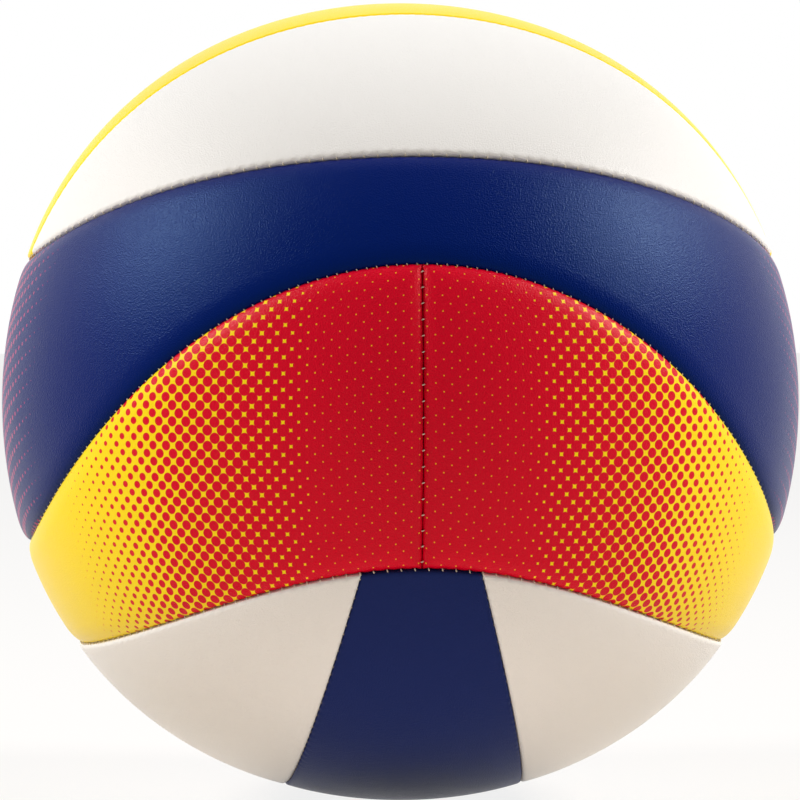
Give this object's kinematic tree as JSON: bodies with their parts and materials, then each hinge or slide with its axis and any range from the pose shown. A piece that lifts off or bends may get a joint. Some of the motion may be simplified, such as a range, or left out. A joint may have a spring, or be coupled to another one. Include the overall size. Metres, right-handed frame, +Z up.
{
  "type": "volleyball",
  "caption": "Machine-stitched volleyball with foam-backed panels in two interlocking halves, an air bladder and a needle valve with a removable plug.",
  "frame": {"origin": "centre of the ball", "axes": "+Z up, through the middle of the top strips and out of the valve; X along the top strips; -Y is the pictured front"},
  "size_m": [0.213, 0.213, 0.2128],
  "materials": {
    "cover_yellow": "soft-grained synthetic leather, yellow",
    "cover_white": "soft-grained synthetic leather, white",
    "cover_blue_fade": "soft-grained synthetic leather, blue with a red dot fade at the ends",
    "cover_navy": "soft-grained synthetic leather, dark blue",
    "cover_yellow_fade": "soft-grained synthetic leather, yellow with a red dot fade at the ends",
    "thread": "bonded polyester sewing thread, cream",
    "bladder_rubber": "moulded butyl rubber, matt",
    "valve_rubber": "moulded rubber, satin",
    "plug_rubber": "soft moulded rubber, satin"
  },
  "bodies": {
    "ball": {"top_centre_strip": "cover_yellow", "top_front_strip": "cover_white", "top_back_strip": "cover_white", "front_bow_panel": "cover_blue_fade", "back_bow_panel": "cover_blue_fade", "bottom_centre_strip": "cover_navy", "bottom_left_strip": "cover_white", "bottom_right_strip": "cover_white", "left_bow_panel": "cover_yellow_fade", "right_bow_panel": "cover_yellow_fade", "top_strip_thread": "thread", "top_outline_thread": "thread", "top_meeting_thread": "thread", "main_seam_thread": "thread", "bottom_strip_thread": "thread", "bottom_outline_thread": "thread", "bottom_meeting_thread": "thread", "bladder": "bladder_rubber", "valve_housing": "valve_rubber"},
    "plug": {"valve_plug": "plug_rubber"}
  },
  "joints": [
    {"name": "plug_pull", "type": "slide", "parent": "ball", "child": "plug", "axis": [0, 0, 1], "range_m": [0, 0.018]}
  ]
}
